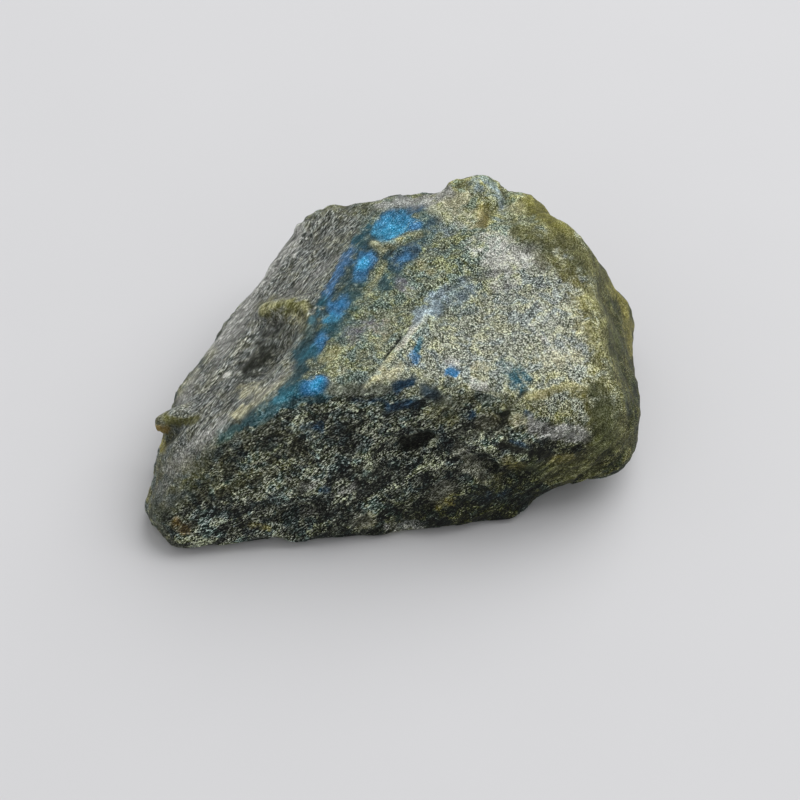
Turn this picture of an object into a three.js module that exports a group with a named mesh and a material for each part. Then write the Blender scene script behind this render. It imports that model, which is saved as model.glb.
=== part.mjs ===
// A rough chunk of labradorite, as broken from the rock: one solid stone that lies on a flat cleavage face.
// Units are millimetres. +X runs along the stone's length, +Y to its back and +Z up; the origin is the middle
// of its outline, on the surface that it rests on.
//
// The stone is the space behind a set of cleavage and fracture faces. Each face is a plane with a relief of
// its own. Lumps are added to that space, and chips and hollows are taken from it. The surface is then walked
// with a grid of cells, one vertex in each cell for each sheet of surface that crosses it.
import * as THREE from "three";
import { ImprovedNoise } from "three/addons/math/ImprovedNoise.js";

// ---- Driving dimensions ----

const CELL = 1.4; // side of a grid cell, which sets the size of the facets
const WORN_EDGE = 1.1; // width over which two faces round into each other
const HEIGHT_LIMIT = 30; // top of the grid, clear of the stone
const REACH = 36; // half width of the grid, clear of the stone

const at = (x, y, z) => new THREE.Vector3(x, y, z);

// ---- Relief ----

const field = new ImprovedNoise();
const OCTAVE_SHIFT = 7.3; // moves each octave to another part of the noise

// Noise of a given size in mm, from -1 to 1. Stretch lengthens it along a direction.
function noise(p, size, seed = 0) {
  return field.noise(p.x / size + seed, p.y / size - seed, p.z / size + 2 * seed);
}

function fractal(p, size, octaves, seed = 0) {
  let sum = 0;
  for (let i = 0, share = 1; i < octaves; i++, share /= 2)
    sum += share * noise(p, size * share, seed + OCTAVE_SHIFT * i);
  return sum;
}

// p with its part along a direction shortened, so that noise read there runs in streaks along it.
function streaked(p, direction, ratio) {
  return p.clone().addScaledVector(direction, (1 / ratio - 1) * p.dot(direction));
}

const FLANK_RUN = at(-0.55, -0.78, -0.25).normalize(); // the way the left flank's cleavage steps run
const FRONT_RUN = at(0.93, 0.1, 0.36).normalize(); // the way the front's layers run

const relief = {
  satin: (p) => 0.45 * fractal(streaked(p, FLANK_RUN, 6), 5, 2, 3.1),
  sugary: (p) => 0.35 * fractal(p, 6, 2, 5.7),
  hackly: (p) => 1.15 * fractal(streaked(p, FRONT_RUN, 2), 7, 3, 1.9),
  lumpy: (p) => fractal(p, 8, 3, 9.2),
  waxy: (p) => 0.5 * fractal(p, 6, 3, 4.4),
};

// ---- Faces: a point on each, and the way that it faces ----

const faces = [
  { name: "front", at: at(-12, -21.9, 1.8), facing: at(0.03, -1, 0.52), relief: relief.hackly },
  { name: "front foot", at: at(-5, -21.7, 1.6), facing: at(0.03, -0.6, -0.8), relief: relief.lumpy },
  { name: "front right", at: at(19, -15.3, 3), facing: at(0.22, -1, -0.03), relief: relief.hackly },
  { name: "front left", at: at(-22.4, -14.3, 14.5), facing: at(-0.64, -0.33, 0.69), relief: relief.satin },
  { name: "flank", at: at(-4, 19.5, 18.7), facing: at(-0.51, 0.17, 0.85), relief: relief.satin },
  { name: "flash face", at: at(-3, -12, 21.3), facing: at(-0.16, 0.05, 0.99), relief: relief.sugary },
  { name: "right face", at: at(-3, -12, 21.3), facing: at(0.12, -0.2, 0.97), relief: relief.sugary },
  { name: "facet", at: at(21.2, -12.4, 16.3), facing: at(0.22, -0.62, 0.75), relief: relief.sugary },
  { name: "right shoulder", at: at(26.2, -1.6, 19.8), facing: at(0.88, 0.04, 0.45), relief: relief.waxy },
  { name: "right end", at: at(31.4, 0, 9), facing: at(0.99, 0, 0.02), relief: relief.waxy },
  { name: "right corner", at: at(29.3, -12.9, 6), facing: at(0.84, -0.5, 0.2), relief: relief.waxy },
  { name: "back right", at: at(28, 12, 13), facing: at(0.72, 0.62, 0.3), relief: relief.waxy },
  { name: "back", at: at(14, 22.5, 19), facing: at(0.3, 0.95, 0.08), relief: relief.lumpy },
  { name: "back left", at: at(-4, 22, 18.9), facing: at(0, 0.95, 0.3), relief: relief.lumpy },
  { name: "back foot", at: at(0, 24, 10), facing: at(-0.05, 1, -0.08), relief: relief.lumpy },
  { name: "left corner", at: at(-12.9, 23, 15), facing: at(-0.6, 0.78, 0.15), relief: relief.lumpy },
  { name: "left side", at: at(-21, 8.9, 11), facing: at(-0.85, 0.52, 0.05), relief: relief.lumpy },
  { name: "crest", at: at(14, 11, 24), facing: at(0.05, 0.4, 0.91), relief: relief.lumpy },
  { name: "left end", at: at(-30.4, -16, 4), facing: at(-0.96, 0.08, 0.27), relief: relief.lumpy },
  { name: "left foot", at: at(-30, -18.6, 1), facing: at(-0.72, -0.62, -0.3), relief: relief.lumpy },
  { name: "underside", at: at(18, -8, 0), facing: at(0.26, -0.05, -0.97), relief: relief.lumpy },
];
for (const face of faces)
  face.plane = new THREE.Plane().setFromNormalAndCoplanarPoint(face.facing.clone().normalize(), face.at);

// ---- Lumps that stand out, and chips and hollows that are taken away ----

// Each is an ellipsoid: its middle, its half sizes, how far it blends in, and the way its first half size
// points.
const SPINE_RUN = at(0.58, 0.81, 0.1); // the way the rib runs between the flash face and the right face

const lumps = [
  { name: "crest peak", at: at(10.6, 21, 19.3), half: at(4.2, 3.2, 3.2), blend: 2 },
  { name: "crest right", at: at(15.8, 18.4, 18.9), half: at(4, 3, 2.7), blend: 2 },
  { name: "crest left", at: at(3.6, 20.7, 17.4), half: at(4.2, 2.6, 2), blend: 1.6 },
  { name: "scoop lip", at: at(-14, 5, 15.9), half: at(4.2, 1.6, 1.2), blend: 1.4, along: at(1, -0.3, 0.4) },
  { name: "spine rib", at: at(3.9, -2.8, 21.5), half: at(11, 1.8, 1.2), blend: 1.2, along: SPINE_RUN },
  { name: "left ledge", at: at(-28, -8.8, 10), half: at(3, 1.8, 1.4), blend: 1.4, along: at(0.85, 0.1, 0.5) },
  { name: "front ledge", at: at(-6, -16, 9.5), half: at(6.5, 1.7, 1.5), blend: 1.4, along: FRONT_RUN },
  { name: "foot ledge", at: at(-19, -18.1, 7), half: at(5.5, 1.7, 1.4), blend: 1.4, along: FRONT_RUN },
  { name: "hollow rim", at: at(13.5, -15, 12.6), half: at(4.5, 1.8, 1.3), blend: 1.4, along: at(1, 0, -0.3) },
  { name: "heel", at: at(14, -16.2, 1.8), half: at(2.6, 1.5, 1.6), blend: 1 },
  { name: "right heel", at: at(27.5, -11.4, 6.4), half: at(2.3, 2.2, 1.8), blend: 1 },
  { name: "right knob", at: at(28.9, 8.5, 11), half: at(1.9, 2.6, 2.4), blend: 1.4 },
];

const chips = [
  { name: "left notch", at: at(-29.6, -11, 8.9), half: at(4, 1.3, 1.3), blend: 1, along: at(0.8, 0.2, 0.5) },
  { name: "scoop", at: at(-16.4, -2.4, 17.6), half: at(6.5, 3.4, 2), blend: 0.8, along: FLANK_RUN },
  { name: "right recess", at: at(14.5, 0.2, 23.2), half: at(10.5, 9, 2.6), blend: 0.8, along: SPINE_RUN },
  { name: "front hollow", at: at(2.5, -16.9, 12.8), half: at(5.5, 2.8, 2.4), blend: 1, along: FRONT_RUN },
  { name: "right hollow", at: at(13.6, -17.9, 9.6), half: at(5, 2.8, 2), blend: 0.8, along: at(1, 0, -0.4) },
  { name: "brow hollow", at: at(-8.5, -16.4, 14.6), half: at(4.2, 2.2, 1.8), blend: 1, along: FRONT_RUN },
  { name: "foot hollow", at: at(-12, -20.8, 5.5), half: at(4.5, 2.4, 2), blend: 1, along: FRONT_RUN },
  { name: "heel step", at: at(18.3, -17.2, 1), half: at(1.8, 2, 1.6), blend: 1 },
  { name: "right undercut", at: at(25.8, -16.6, -1), half: at(8.8, 5.5, 6.5), blend: 1 },
  { name: "corner undercut", at: at(33, -13, 0), half: at(6, 6, 6), blend: 1 },
  { name: "back scoop", at: at(2, 26.2, 9), half: at(9, 4.2, 7), blend: 1.2 },
  { name: "back chip", at: at(17, 25, 7), half: at(5, 4, 5), blend: 1 },
  { name: "left scoop", at: at(-27.4, 9.8, 6), half: at(7, 4.6, 4.5), blend: 1.2, along: at(0.55, 0.83, 0) },
  { name: "left step", at: at(-17, 20.2, 4), half: at(4, 3, 5), blend: 1 },
  { name: "right scoop", at: at(34, 3, 6), half: at(3.4, 7, 4), blend: 1.2 },
];

for (const lump of [...lumps, ...chips]) {
  const along = (lump.along ?? at(1, 0, 0)).clone().normalize();
  lump.turn = new THREE.Quaternion().setFromUnitVectors(along, at(1, 0, 0));
}

const NEAR_MIDDLE = 1e-6; // too near an ellipsoid's middle for the slope to mean anything

// About how far p is outside an ellipsoid.
function outsideLump(p, lump) {
  const local = p.clone().sub(lump.at).applyQuaternion(lump.turn);
  const scaled = local.clone().divide(lump.half).length();
  const slope = local.divide(lump.half).divide(lump.half).length();
  if (slope > NEAR_MIDDLE) return (scaled * (scaled - 1)) / slope;
  return -Math.min(lump.half.x, lump.half.y, lump.half.z);
}

// The larger of a and b, rounded where they are within width of each other.
function roundedMax(a, b, width) {
  const overlap = Math.max(width - Math.abs(a - b), 0);
  return Math.max(a, b) + (overlap * overlap) / (4 * width);
}

// About how far p is outside the stone; negative inside it.
function outside(p) {
  let d = -Infinity;
  for (const face of faces) {
    const fromPlane = face.plane.distanceToPoint(p) - face.relief(p);
    d = d === -Infinity ? fromPlane : roundedMax(d, fromPlane, WORN_EDGE);
  }
  for (const lump of lumps) d = -roundedMax(-d, -outsideLump(p, lump), lump.blend);
  for (const chip of chips) d = roundedMax(d, -outsideLump(p, chip), chip.blend);
  return Math.max(d, -p.z);
}

// ---- The surface ----

const count = (length) => Math.ceil(length / CELL);
const [nx, ny, nz] = [2 * count(REACH), 2 * count(REACH), count(HEIGHT_LIMIT) + 2];
const gridPoint = (i, j, k) => at((i - nx / 2) * CELL, (j - ny / 2) * CELL, (k - 1.5) * CELL);
const index = (i, j, k) => (k * (ny + 1) + j) * (nx + 1) + i;

const values = new Float32Array((nx + 1) * (ny + 1) * (nz + 1));
for (let k = 0; k <= nz; k++)
  for (let j = 0; j <= ny; j++)
    for (let i = 0; i <= nx; i++) values[index(i, j, k)] = outside(gridPoint(i, j, k));

// A cell's corners are numbered 0 to 7 by bits: 1 is its +X side, 2 its +Y side and 4 its +Z side.
const SIDES = [1, 2, 4];
const corners = [0, 1, 2, 3, 4, 5, 6, 7];
const cellEdges = SIDES.flatMap((bit) => corners.filter((a) => !(a & bit)).map((a) => [a, a | bit]));
const cellFaces = SIDES.flatMap((bit) => [0, bit].map((side) => corners.filter((a) => (a & bit) === side)));
const edgeNumber = (a, b) => cellEdges.findIndex((edge) => edge[0] === a && edge[1] === b);

// The crossed edges of a cell, in one group for each sheet of surface that passes through the cell.
function sheets(cell) {
  const crossed = cellEdges.filter(([a, b]) => cell[a] < 0 !== cell[b] < 0);
  const groupOf = new Map(crossed.map((edge) => [edge, [edge]]));
  const join = (one, other) => {
    if (groupOf.get(one) === groupOf.get(other)) return;
    const both = [...groupOf.get(one), ...groupOf.get(other)];
    for (const edge of both) groupOf.set(edge, both);
  };
  for (const face of cellFaces) {
    const onFace = crossed.filter((edge) => edge.every((a) => face.includes(a)));
    if (onFace.length === 2) join(...onFace);
    if (onFace.length === 4)
      for (const a of face) if (cell[a] < 0) join(...onFace.filter((edge) => edge.includes(a)));
  }
  return new Set(groupOf.values());
}

const SLOPE_STEP = 0.05; // over which the field's slope is measured
const LEAST_SLOPE = 0.25; // squared; keeps a step from running away where the field is nearly level
const SETTLE_ROUNDS = 4;

// Slides p onto the surface along the field's slope, by no more than half a cell in all.
function settle(p) {
  const start = p.clone();
  for (let round = 0; round < SETTLE_ROUNDS; round++) {
    const d = outside(p);
    const slope = at(
      outside(p.clone().add(at(SLOPE_STEP, 0, 0))) - d,
      outside(p.clone().add(at(0, SLOPE_STEP, 0))) - d,
      outside(p.clone().add(at(0, 0, SLOPE_STEP))) - d,
    ).divideScalar(SLOPE_STEP);
    const move = THREE.MathUtils.clamp(-d / Math.max(slope.lengthSq(), LEAST_SLOPE), -CELL / 3, CELL / 3);
    p.addScaledVector(slope, move);
  }
  return p.sub(start).clampLength(0, CELL / 2).add(start);
}

// One vertex for each sheet in each cell, kept under the cell and each of the edges that the sheet crosses.
const vertices = [];
const vertexOf = new Map();
for (let k = 0; k < nz; k++)
  for (let j = 0; j < ny; j++)
    for (let i = 0; i < nx; i++) {
      const cell = corners.map((a) => values[index(i + (a & 1), j + ((a >> 1) & 1), k + (a >> 2))]);
      if (cell.every((d) => d < 0) || cell.every((d) => d >= 0)) continue;
      for (const sheet of sheets(cell)) {
        const mean = at(0, 0, 0);
        for (const [a, b] of sheet) {
          const share = cell[a] / (cell[a] - cell[b]);
          const along = (bit) => (a & bit ? 1 : b & bit ? share : 0);
          mean.add(at(along(1), along(2), along(4)).divideScalar(sheet.length));
          vertexOf.set(12 * index(i, j, k) + edgeNumber(a, b), vertices.length);
        }
        vertices.push(settle(gridPoint(i, j, k).addScaledVector(mean, CELL)));
      }
    }

// One quad, as two triangles, round each grid edge that the surface crosses.
const triangles = [];
const rings = [
  { bit: 1, cells: [[0, -1, -1], [0, 0, -1], [0, 0, 0], [0, -1, 0]] },
  { bit: 2, cells: [[-1, 0, -1], [-1, 0, 0], [0, 0, 0], [0, 0, -1]] },
  { bit: 4, cells: [[-1, -1, 0], [0, -1, 0], [0, 0, 0], [-1, 0, 0]] },
];
for (let k = 1; k < nz; k++)
  for (let j = 1; j < ny; j++)
    for (let i = 1; i < nx; i++)
      for (const { bit, cells } of rings) {
        const inside = values[index(i, j, k)] < 0;
        const next = values[index(i + (bit & 1), j + ((bit >> 1) & 1), k + (bit >> 2))];
        if (inside === next < 0) continue;
        const quad = cells.map(([x, y, z]) => {
          const a = -x - 2 * y - 4 * z;
          return vertexOf.get(12 * index(i + x, j + y, k + z) + edgeNumber(a, a | bit));
        });
        if (!inside) quad.reverse();
        const [a, b, c, d] = quad;
        const shortAC = vertices[a].distanceTo(vertices[c]) < vertices[b].distanceTo(vertices[d]);
        triangles.push(...(shortAC ? [a, b, c, a, c, d] : [a, b, d, b, c, d]));
      }

const FLAT = 0.12; // what lies this close to the resting surface lies on it
for (const v of vertices) if (v.z < FLAT) v.z = 0;
const box = new THREE.Box3().setFromPoints(vertices);
const centre = box.getCenter(at(0, 0, 0)).setZ(0);

const geometry = new THREE.BufferGeometry().setFromPoints(vertices.map((v) => v.sub(centre)));
geometry.setIndex(triangles);
geometry.computeVertexNormals();

const stone = new THREE.Mesh(
  geometry,
  new THREE.MeshStandardMaterial({ color: 0x6f705c, roughness: 0.6, metalness: 0 }),
);
stone.name = "labradorite_chunk";

const part = new THREE.Group();
part.add(stone);
export default part;
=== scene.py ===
import math
from functools import partial
from typing import NamedTuple

import bpy
import numpy as np
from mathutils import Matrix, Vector, noise


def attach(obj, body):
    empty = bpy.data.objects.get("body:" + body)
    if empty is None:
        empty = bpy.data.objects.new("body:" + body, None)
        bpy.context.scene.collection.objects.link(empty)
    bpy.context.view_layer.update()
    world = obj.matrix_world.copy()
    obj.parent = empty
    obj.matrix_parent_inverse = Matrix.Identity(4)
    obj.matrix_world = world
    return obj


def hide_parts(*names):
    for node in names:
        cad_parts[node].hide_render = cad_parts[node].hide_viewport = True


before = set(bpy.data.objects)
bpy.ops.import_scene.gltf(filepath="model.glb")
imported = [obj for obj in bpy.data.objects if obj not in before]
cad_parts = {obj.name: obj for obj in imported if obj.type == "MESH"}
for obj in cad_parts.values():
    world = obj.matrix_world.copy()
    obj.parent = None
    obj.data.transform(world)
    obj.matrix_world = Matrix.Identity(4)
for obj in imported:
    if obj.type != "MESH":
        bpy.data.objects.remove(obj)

# The looks of a rough chunk of labradorite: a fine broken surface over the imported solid, its colours and blue
# flashes, and a plain pale table with soft studio light. Lengths are in millimetres, apart from the settings
# and the light's place, which are in metres.

bl_info = {
    "name": "Rough Labradorite Chunk",
    "version": (1, 0, 0),
    "blender": (4, 5, 0),
    "location": "View3D > Sidebar > Labradorite",
    "description": "Builds a rough labradorite chunk and a small studio for it",
    "category": "Object",
}

NODE = "labradorite_chunk"
MM = 0.001  # metres in a millimetre

# ---- Camera: looks down on the stone from in front ----

CAMERA_ELEVATION = math.radians(50)
CAMERA_DISTANCE = 400
CAMERA_LENS = 139
SENSOR_WIDTH = 36
FRAME_PIXELS = 800
STONE_MIDDLE = np.array((0.174, 0.906, 0))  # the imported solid's origin, as AIM and FACES count places
AIM = np.array((0.9, 0, 3.8)) - STONE_MIDDLE
TO_CAMERA = np.array((0, -math.cos(CAMERA_ELEVATION), math.sin(CAMERA_ELEVATION)))
CAMERA_UP = np.array((0, math.sin(CAMERA_ELEVATION), math.cos(CAMERA_ELEVATION)))
CAMERA_PLACE = AIM + CAMERA_DISTANCE * TO_CAMERA
FOCAL_PIXELS = CAMERA_LENS / SENSOR_WIDTH * FRAME_PIXELS


def seen_at(points):
    """Where the camera sees each point, in pixels across and down its square frame."""
    from_camera = points - CAMERA_PLACE
    scale = FOCAL_PIXELS / -(from_camera @ TO_CAMERA)
    across = FRAME_PIXELS / 2 + from_camera[:, 0] * scale
    down = FRAME_PIXELS / 2 - (from_camera @ CAMERA_UP) * scale
    return np.stack((across, down), axis=1)


# ---- Colours ----


def linear(hex_colour):
    """An sRGB hex colour as linear red, green and blue."""
    parts = [int(hex_colour[i : i + 2], 16) / 255 for i in (1, 3, 5)]
    return tuple(c / 12.92 if c <= 0.04045 else ((c + 0.055) / 1.055) ** 2.4 for c in parts)


# ---- Faces of the stone, as the solid has them: a point on it, the way it faces, and its finish ----

FACES = {
    "front": ((-12, -21.9, 1.8), (0.03, -1, 0.52), "hackly"),
    "front foot": ((-5, -21.7, 1.6), (0.03, -0.6, -0.8), "hackly"),
    # the front right faces a little downwards, and its bottle finish paints its shade
    "front right": ((19, -15.3, 3), (0.22, -1, -0.03), "bottle"),
    "front left": ((-22.4, -14.3, 14.5), (-0.64, -0.33, 0.69), "satin"),
    "flank": ((-4, 19.5, 18.7), (-0.51, 0.17, 0.85), "satin"),
    "flash face": ((-3, -12, 21.3), (-0.16, 0.05, 0.99), "olive sugar"),
    "right face": ((-3, -12, 21.3), (0.12, -0.2, 0.97), "pale sugar"),
    "facet": ((21.2, -12.4, 16.3), (0.22, -0.62, 0.75), "facet"),
    "right shoulder": ((26.2, -1.6, 19.8), (0.88, 0.04, 0.45), "waxy"),
    "right end": ((31.4, 0, 9), (0.99, 0, 0.02), "waxy"),
    "right corner": ((29.3, -12.9, 6), (0.84, -0.5, 0.2), "waxy"),
    "back right": ((28, 12, 13), (0.72, 0.62, 0.3), "waxy"),
    "back": ((14, 22.5, 19), (0.3, 0.95, 0.08), "waxy"),
    "back left": ((-4, 22, 18.9), (0, 0.95, 0.3), "hackly"),
    "back foot": ((0, 24, 10), (-0.05, 1, -0.08), "hackly"),
    "left corner": ((-12.9, 23, 15), (-0.6, 0.78, 0.15), "hackly"),
    "left side": ((-21, 8.9, 11), (-0.85, 0.52, 0.05), "hackly"),
    "crest": ((14, 11, 24), (0.05, 0.4, 0.91), "crest"),
    "left end": ((-30.4, -16, 4), (-0.96, 0.08, 0.27), "nose"),
    "left foot": ((-30, -18.6, 1), (-0.72, -0.62, -0.3), "nose"),
    "underside": ((18, -8, 0), (0.26, -0.05, -0.97), "hackly"),
    "rest": ((0, 0, 0), (0, 0, -1), "hackly"),
}
FACE_BLEND = 0.7  # width over which one face's finish turns into the next
FACE_WANDER = 0.9  # how far noise moves the borders between finishes


class Finish(NamedTuple):
    """How one kind of broken face looks: its usual colour, the warm and cool colours that patches of it take,
    and how strongly its crystal grains, streaks, mottling, patches and polish show, where 1 is strong."""

    body: str
    warm: str
    cool: str
    grain: float
    flank_streaks: float
    front_streaks: float
    mottle: float
    patches: float
    polish: float


FINISHES = {
    "satin": Finish("#72756e", "#73735f", "#6d7474", 0.85, 1.0, 0.0, 0.2, 0.5, 0.7),
    "olive sugar": Finish("#868e77", "#93996f", "#77897f", 1.1, 0.2, 0.0, 0.5, 0.9, 0.3),
    "pale sugar": Finish("#a9ae9d", "#b2b49a", "#949e9b", 0.95, 0.1, 0.0, 1.1, 0.9, 0.2),
    "facet": Finish("#b3b594", "#bfbe8a", "#a5ac9c", 1.0, 0.0, 0.0, 0.5, 0.8, 0.3),
    "hackly": Finish("#6d7260", "#7d826e", "#50605c", 1.2, 0.0, 1.0, 0.8, 0.9, 0.3),
    # bottle is hackly made darker: painted shade for the front right, which faces a little downwards
    "bottle": Finish("#42462f", "#505331", "#333c33", 1.3, 0.0, 0.7, 0.8, 0.9, 0.4),
    "waxy": Finish("#4f5534", "#5d5a32", "#434c36", 1.35, 0.1, 0.2, 1.0, 0.8, 0.4),
    "crest": Finish("#7f8462", "#82804b", "#66735f", 0.6, 0.0, 0.0, 0.6, 0.9, 0.3),
    "nose": Finish("#7e8370", "#878563", "#67706c", 0.9, 0.0, 0.5, 0.7, 1.0, 0.5),
}
TINTS = ("body", "warm", "cool")
AMOUNTS = ("grain", "flank_streaks", "front_streaks", "mottle", "patches", "polish")
LAYERS = ("body_tint", "warm_tint", "cool_tint", "texture", "surface", "mark")
FLANK_RUN = np.array((-0.55, -0.78, -0.25))  # the way the flank's cleavage steps run
FRONT_RUN = np.array((0.8, 0.28, 0.53))  # the way the front's layers run

# ---- Marks seen from in front: name, colour, strength, half width in pixels, places in pixels ----

MARK_COLOURS = {
    # the flash colours are painted reflection: the blue labradorescence from the stone's inner layers
    "bright flash": "#3f9bc4",
    "flash": "#3d76a2",
    "deep flash": "#2c5764",
    "violet flash": "#456a8e",
    "slate": "#3b5468",
    "lilac": "#77757c",
    "teal": "#46605f",
    "dark teal": "#30464a",
    "navy": "#22394a",
    "blue grey": "#75848b",
    "smooth grey": "#83847f",
    "pale grey": "#949590",
    "cream": "#aba98c",
    "frost": "#c3c4bc",
    "yellow": "#94926c",
    "olive": "#5a5a38",
    "rust": "#6b5c35",
    "bottle": "#3c412c",
    "dark": "#24261f",
    "honey": "#837d48",
    "rim brown": "#605e30",
    "wax edge": "#6d6936",
    "sage": "#7f8576",
    "moss": "#6c6e60",
    "pale moss": "#77764f",
}

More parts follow.
